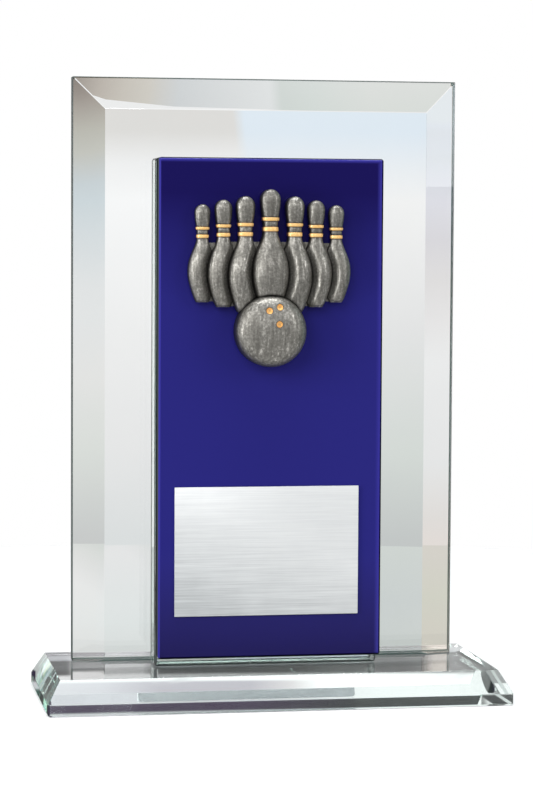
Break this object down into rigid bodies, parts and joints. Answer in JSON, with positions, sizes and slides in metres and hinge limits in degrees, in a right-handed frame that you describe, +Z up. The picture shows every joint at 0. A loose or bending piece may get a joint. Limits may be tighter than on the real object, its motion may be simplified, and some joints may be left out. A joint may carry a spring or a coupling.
{
  "type": "glass bowling trophy",
  "caption": "Upright bevelled glass plate on a bevelled glass base, with a blue glass panel that carries a cast pins-and-ball relief and a brushed engraving plate.",
  "frame": {"origin": "centre of the base's footprint, on the surface the trophy stands on", "axes": "+X to the right as seen from the front, -Y out of the front face that carries the relief, +Z up"},
  "size_m": [0.18, 0.076, 0.2419],
  "materials": {
    "clear_glass": "polished, faintly green at the edges",
    "blue_glass": "polished, deep indigo blue",
    "clear_adhesive": "cured clear adhesive film",
    "label_paper": "plain coated paper, blank",
    "mounting_tape": "double-sided tape",
    "brushed_aluminium": "fine horizontal brushing",
    "mounting_foam": "thin foam tape",
    "pewter_casting": "antiqued pewter plate with dark recesses",
    "gold_paint": "satin gold paint"
  },
  "bodies": {
    "root": {"base_slab": "clear_glass", "underside_label": "label_paper", "plate_base_bond": "clear_adhesive", "upright_plate": "clear_glass", "block_base_bond": "clear_adhesive", "plate_block_bond": "clear_adhesive", "centre_block": "clear_glass", "panel_block_bond": "clear_adhesive", "blue_panel": "blue_glass", "engraving_tape": "mounting_tape", "engraving_plate": "brushed_aluminium", "emblem_foam": "mounting_foam", "emblem_backing": "pewter_casting", "head_pin": "pewter_casting", "left_pin_1": "pewter_casting", "left_pin_2": "pewter_casting", "left_pin_3": "pewter_casting", "right_pin_1": "pewter_casting", "right_pin_2": "pewter_casting", "right_pin_3": "pewter_casting", "head_pin_bands": "gold_paint", "left_pin_1_bands": "gold_paint", "left_pin_2_bands": "gold_paint", "left_pin_3_bands": "gold_paint", "right_pin_1_bands": "gold_paint", "right_pin_2_bands": "gold_paint", "right_pin_3_bands": "gold_paint", "bowling_ball": "pewter_casting", "finger_hole_cups": "gold_paint"}
  },
  "joints": []
}
